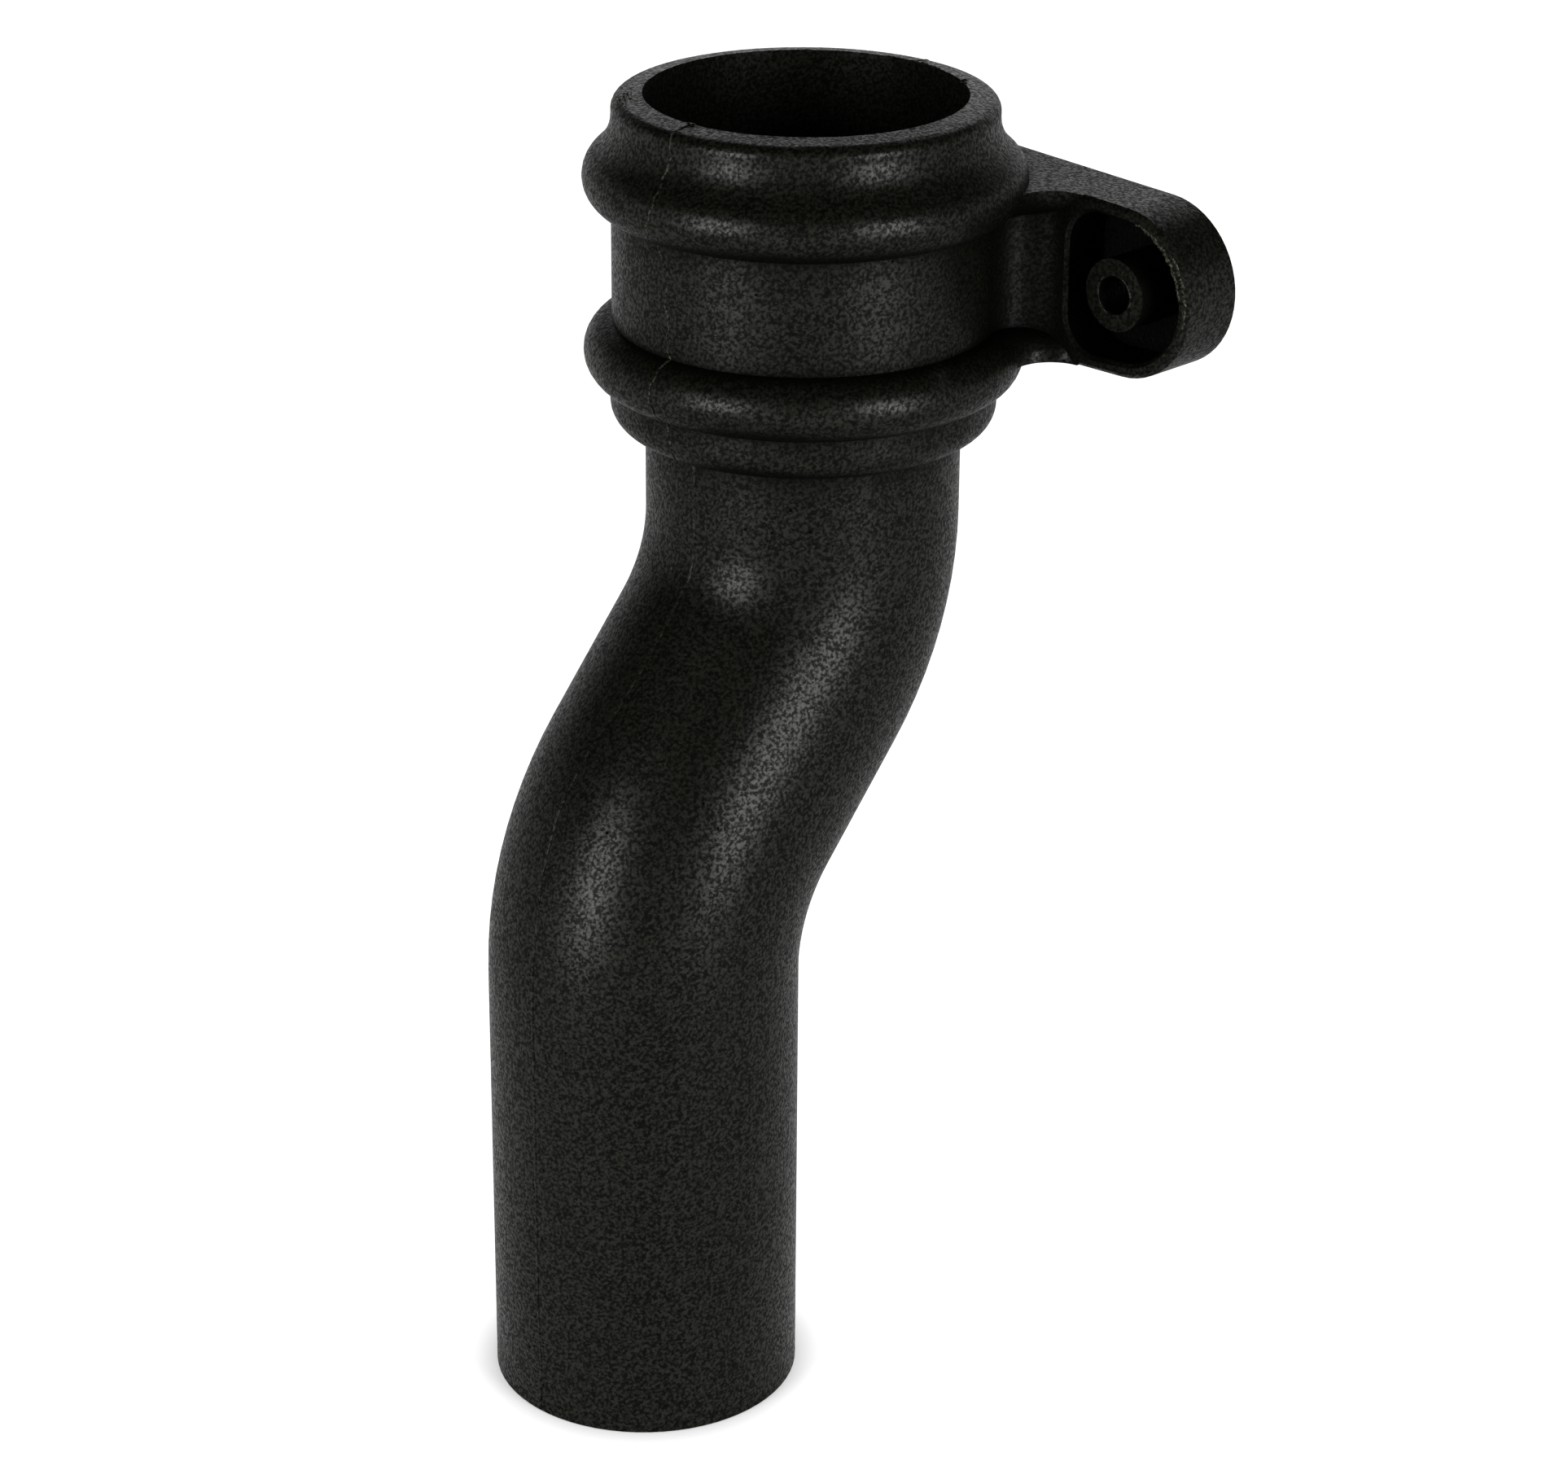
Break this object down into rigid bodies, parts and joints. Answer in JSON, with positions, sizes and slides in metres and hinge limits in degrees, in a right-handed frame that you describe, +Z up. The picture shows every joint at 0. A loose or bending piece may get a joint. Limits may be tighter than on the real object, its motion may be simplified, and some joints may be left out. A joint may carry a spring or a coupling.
{
  "type": "downpipe plinth offset",
  "caption": "Round downpipe offset with a beaded socket, wall ears with fixing holes, an S-bend that steps forward over a plinth, and a plain spigot.",
  "frame": {"origin": "centre of the spigot's open end, on the spigot's axis", "axes": "+Z up along the pipe towards the socket's mouth, +Y towards the wall, X from ear to ear"},
  "size_m": [0.1586, 0.1288, 0.2862],
  "materials": {
    "moulding": "matte black with a fine cast-iron style grain"
  },
  "bodies": {
    "root": {"plinth_offset": "moulding"}
  },
  "joints": []
}
